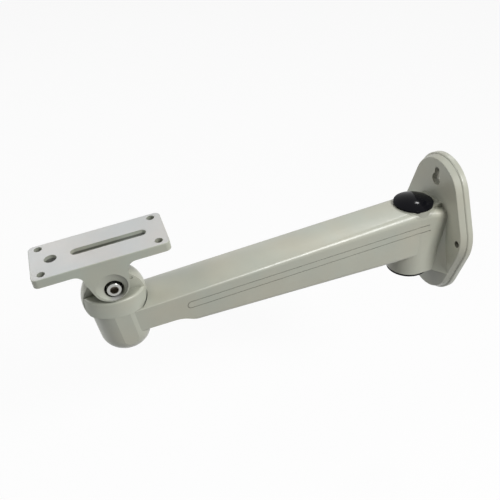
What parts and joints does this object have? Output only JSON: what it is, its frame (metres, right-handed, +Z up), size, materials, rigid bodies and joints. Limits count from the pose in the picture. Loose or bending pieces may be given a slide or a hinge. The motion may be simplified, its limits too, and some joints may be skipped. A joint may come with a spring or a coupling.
{
  "type": "camera wall bracket",
  "caption": "Cast wall bracket with a hollow tapering arm, capped cable column and a swivel head with a slotted camera plate that pans and tilts.",
  "frame": {"origin": "centre of the wall plate's flat back face, which lies on the wall", "axes": "-X straight out from the wall along the arm, +Z up the wall, +Y to the right of someone who stands at the wall and looks out along the arm"},
  "size_m": [0.3277, 0.083, 0.1301],
  "materials": {
    "casting_paint": "satin",
    "plate_paint": "satin",
    "plug_plastic": "gloss",
    "screw_steel": "polished",
    "washer_steel": "blackened"
  },
  "bodies": {
    "base": {"arm_casting": "casting_paint", "top_cable_plug": "plug_plastic", "bottom_cable_plug": "plug_plastic"},
    "head": {"swivel_knuckle": "casting_paint", "pan_screw": "screw_steel", "pan_flat_washer": "washer_steel", "pan_spring_washer": "washer_steel"},
    "plate": {"camera_plate": "plate_paint", "tilt_screw": "screw_steel", "tilt_spring_washer": "washer_steel", "tilt_nut": "screw_steel"}
  },
  "joints": [
    {"name": "pan", "type": "hinge", "parent": "base", "child": "head", "pos_m": [-0.2763, 0, 0.0145], "axis": [0, 0, 1], "continuous": true},
    {"name": "tilt", "type": "hinge", "parent": "head", "child": "plate", "pos_m": [-0.2763, 0, 0.0383], "axis": [0.1167, 0.9932, 0], "range_deg": [-35, 45]}
  ]
}
